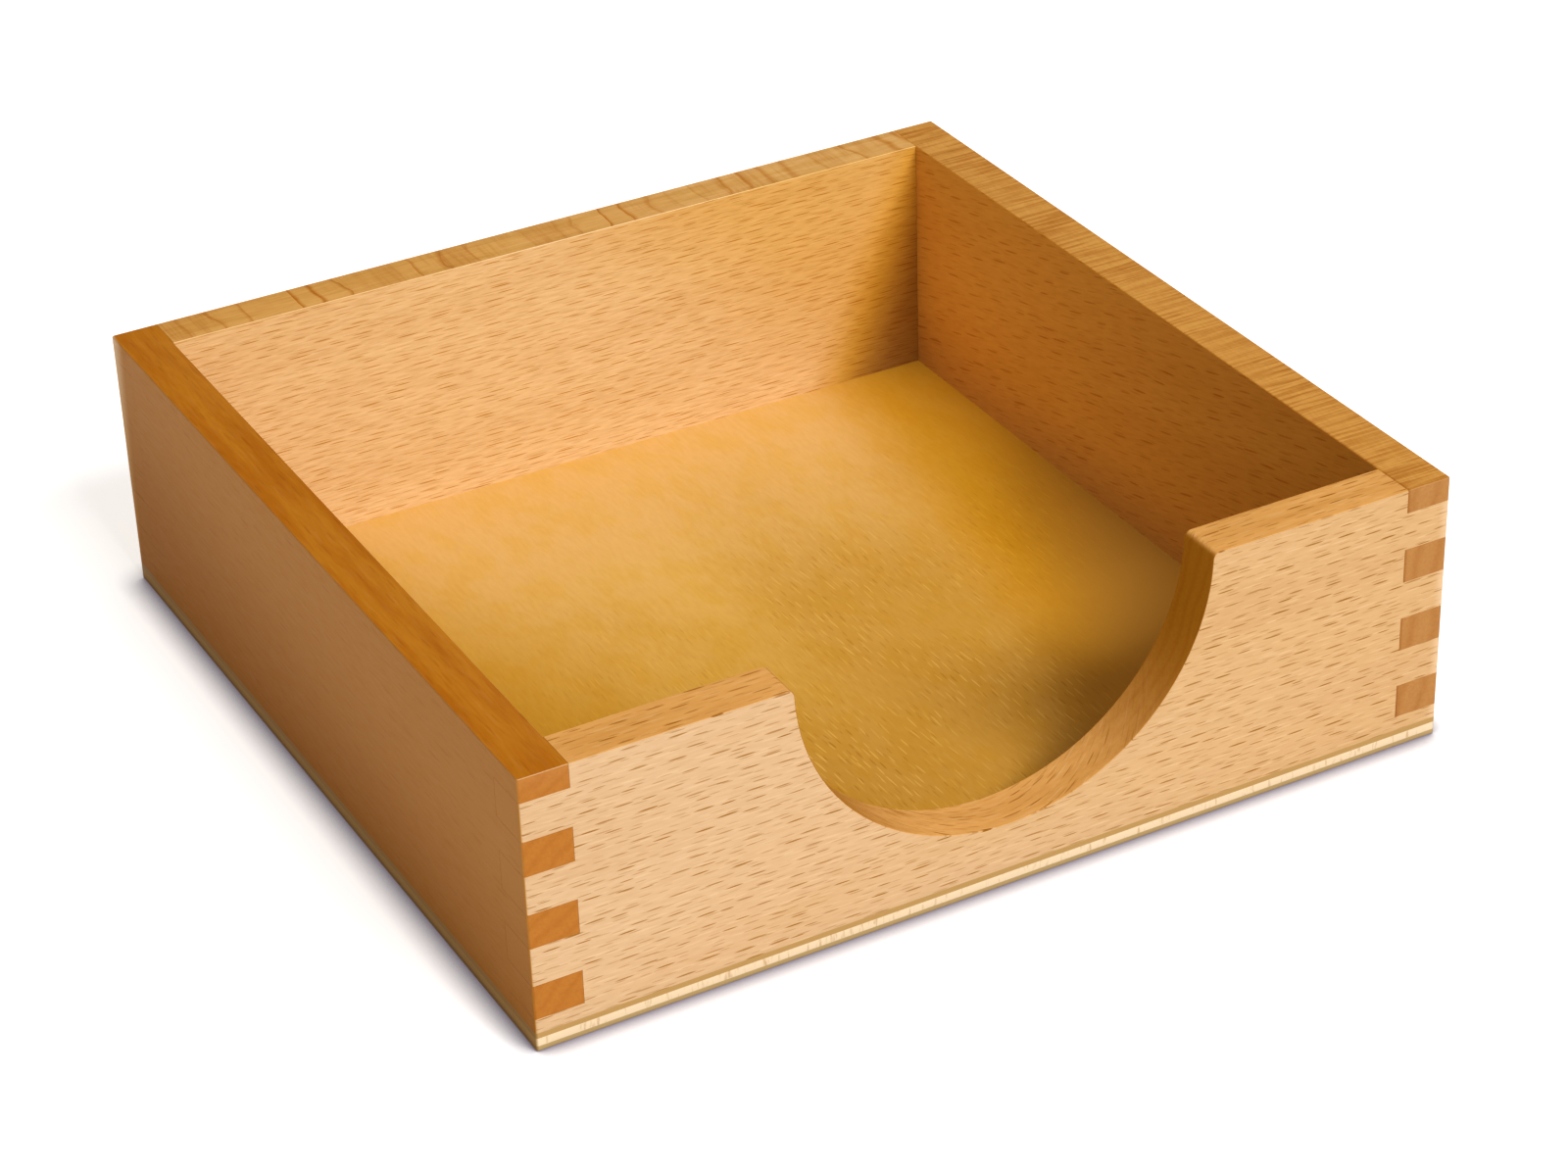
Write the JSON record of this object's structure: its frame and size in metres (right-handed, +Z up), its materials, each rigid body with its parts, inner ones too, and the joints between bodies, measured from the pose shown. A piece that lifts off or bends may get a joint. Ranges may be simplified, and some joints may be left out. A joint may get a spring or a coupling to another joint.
{
  "type": "napkin box",
  "caption": "Open square-cornered wooden tray for folded paper napkins, with finger-jointed beech walls, a half-round hand notch in the front wall and a plywood base.",
  "frame": {"origin": "centre of the underside, on the surface that the box stands on", "axes": "+Z up, +X to the right as seen from the notched front, -Y towards the notched front"},
  "size_m": [0.2, 0.195, 0.059],
  "materials": {
    "front_beech": "planed beech, pale and flecked, clear satin oil",
    "back_beech": "planed beech, warm, clear satin oil",
    "side_beech": "planed beech, deeper orange brown, clear satin oil",
    "face_veneer": "rotary-cut face veneer, golden, clear satin oil",
    "core_ply": "pale cross-grain core ply, sawn edge"
  },
  "bodies": {
    "root": {"front_wall": "front_beech", "back_wall": "back_beech", "left_wall": "side_beech", "right_wall": "side_beech", "base_top_veneer": "face_veneer", "base_core": "core_ply", "base_bottom_veneer": "face_veneer"}
  },
  "joints": []
}
